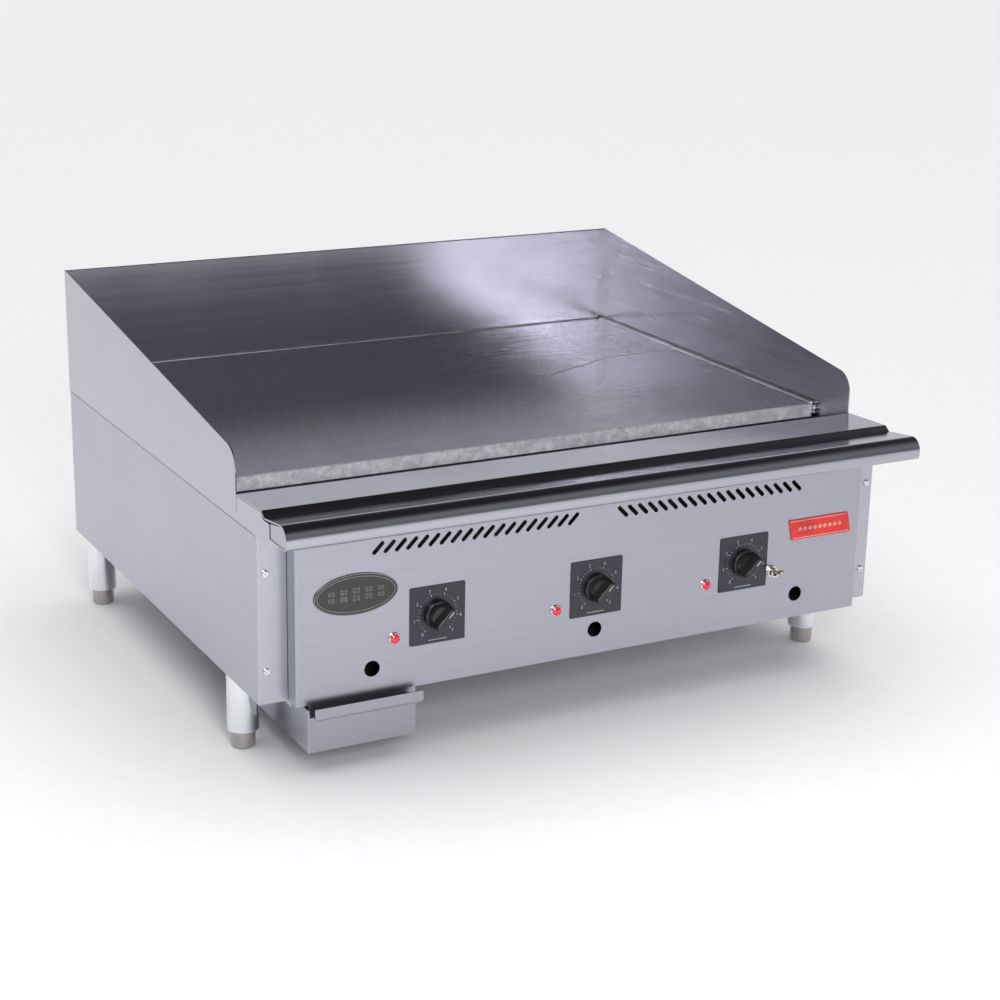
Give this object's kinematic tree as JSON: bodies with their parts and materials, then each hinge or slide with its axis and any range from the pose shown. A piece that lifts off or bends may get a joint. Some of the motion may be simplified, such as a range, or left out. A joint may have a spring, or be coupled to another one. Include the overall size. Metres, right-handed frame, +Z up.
{
  "type": "countertop gas griddle",
  "caption": "Countertop flat-top gas griddle in stainless sheet, with splash guards, front grease trough and rounded nose, dial thermostats, a pull-out grease drawer and adjustable legs.",
  "frame": {"origin": "on the counter, under the middle of the griddle's bounding box", "axes": "+X to the user's right along the front, +Y to the back, +Z up"},
  "size_m": [0.9144, 0.873, 0.5],
  "materials": {
    "stainless": "brushed stainless sheet",
    "plate_steel": "ground and polished steel plate",
    "polished_leg": "polished nickel-chrome plate",
    "foot_metal": "turned steel",
    "galvanised": "aluminised steel sheet",
    "black_iron": "black pipe and castings",
    "burner_steel": "aluminised steel tube",
    "valve_metal": "die-cast body",
    "brass_fittings": "machined brass",
    "dial_black": "satin black plate",
    "knob_black": "moulded phenolic",
    "lamp_bezel": "plated ring",
    "lamp_red": "moulded red lens",
    "switch_metal": "plated bushing and nut",
    "lever_metal": "worn plated lever",
    "screw_steel": "stainless screws",
    "badge_black": "blank black badge",
    "badge_red": "blank red badge",
    "gland_plastic": "nylon gland"
  },
  "bodies": {
    "griddle": {"back_splash": "stainless", "bottom_pan": "galvanised", "burner_baffle": "galvanised", "burner_centre": "burner_steel", "burner_left": "burner_steel", "burner_rear_support": "galvanised", "burner_right": "burner_steel", "cable_gland": "gland_plastic", "control_panel": "stainless", "dial_plate_centre": "dial_black", "dial_plate_left": "dial_black", "dial_plate_right": "dial_black", "flange_screws": "screw_steel", "front_ledge": "stainless", "gas_manifold": "black_iron", "grease_chute": "stainless", "grease_trough": "stainless", "griddle_plate": "plate_steel", "lamp_housings": "lamp_bezel", "lamp_lenses": "lamp_red", "left_body_side": "stainless", "left_drawer_runner": "galvanised", "left_nose_cap": "stainless", "left_plate_rail": "galvanised", "left_side_splash": "stainless", "leg_front_left": "polished_leg", "leg_front_right": "polished_leg", "leg_rear_left": "polished_leg", "leg_rear_right": "polished_leg", "name_badge": "badge_red", "orifice_fittings": "brass_fittings", "oval_badge": "badge_black", "pilot_burners": "burner_steel", "rear_panel": "galvanised", "rear_panel_screws": "screw_steel", "right_body_side": "stainless", "right_drawer_runner": "galvanised", "right_nose_cap": "stainless", "right_plate_rail": "galvanised", "right_side_splash": "stainless", "supply_tubes": "valve_metal", "thermostat_centre": "valve_metal", "thermostat_left": "valve_metal", "thermostat_probes": "brass_fittings", "thermostat_right": "valve_metal", "toggle_nut": "switch_metal", "toggle_switch": "switch_metal"},
    "drawer": {"grease_drawer": "stainless", "drawer_pull": "stainless"},
    "toggle": {"toggle_lever": "lever_metal"},
    "dial_left": {"knob_left": "knob_black", "thermostat_shaft_left": "screw_steel"},
    "dial_centre": {"knob_centre": "knob_black", "thermostat_shaft_centre": "screw_steel"},
    "dial_right": {"knob_right": "knob_black", "thermostat_shaft_right": "screw_steel"},
    "levelling_foot_front_left": {"foot_front_left": "foot_metal"},
    "levelling_foot_front_right": {"foot_front_right": "foot_metal"},
    "levelling_foot_rear_left": {"foot_rear_left": "foot_metal"},
    "levelling_foot_rear_right": {"foot_rear_right": "foot_metal"}
  },
  "joints": [
    {"name": "drawer_slide", "type": "slide", "parent": "griddle", "child": "drawer", "axis": [0, -1, 0], "range_m": [0, 0.35]},
    {"name": "toggle_flip", "type": "hinge", "parent": "griddle", "child": "toggle", "pos_m": [0.2754, -0.373, 0.174], "axis": [1, 0, 0], "range_deg": [0, 34]},
    {"name": "dial_left_turn", "type": "hinge", "parent": "griddle", "child": "dial_left", "pos_m": [-0.2286, -0.367, 0.1935], "axis": [0, 1, 0], "range_deg": [0, 280]},
    {"name": "dial_centre_turn", "type": "hinge", "parent": "griddle", "child": "dial_centre", "pos_m": [0, -0.367, 0.1935], "axis": [0, 1, 0], "range_deg": [0, 280]},
    {"name": "dial_right_turn", "type": "hinge", "parent": "griddle", "child": "dial_right", "pos_m": [0.2286, -0.367, 0.1935], "axis": [0, 1, 0], "range_deg": [0, 280]},
    {"name": "foot_front_left_level", "type": "slide", "parent": "griddle", "child": "levelling_foot_front_left", "axis": [0, 0, -1], "range_m": [-0.018, 0.02]},
    {"name": "foot_front_right_level", "type": "slide", "parent": "griddle", "child": "levelling_foot_front_right", "axis": [0, 0, -1], "range_m": [-0.018, 0.02]},
    {"name": "foot_rear_left_level", "type": "slide", "parent": "griddle", "child": "levelling_foot_rear_left", "axis": [0, 0, -1], "range_m": [-0.018, 0.02]},
    {"name": "foot_rear_right_level", "type": "slide", "parent": "griddle", "child": "levelling_foot_rear_right", "axis": [0, 0, -1], "range_m": [-0.018, 0.02]}
  ]
}
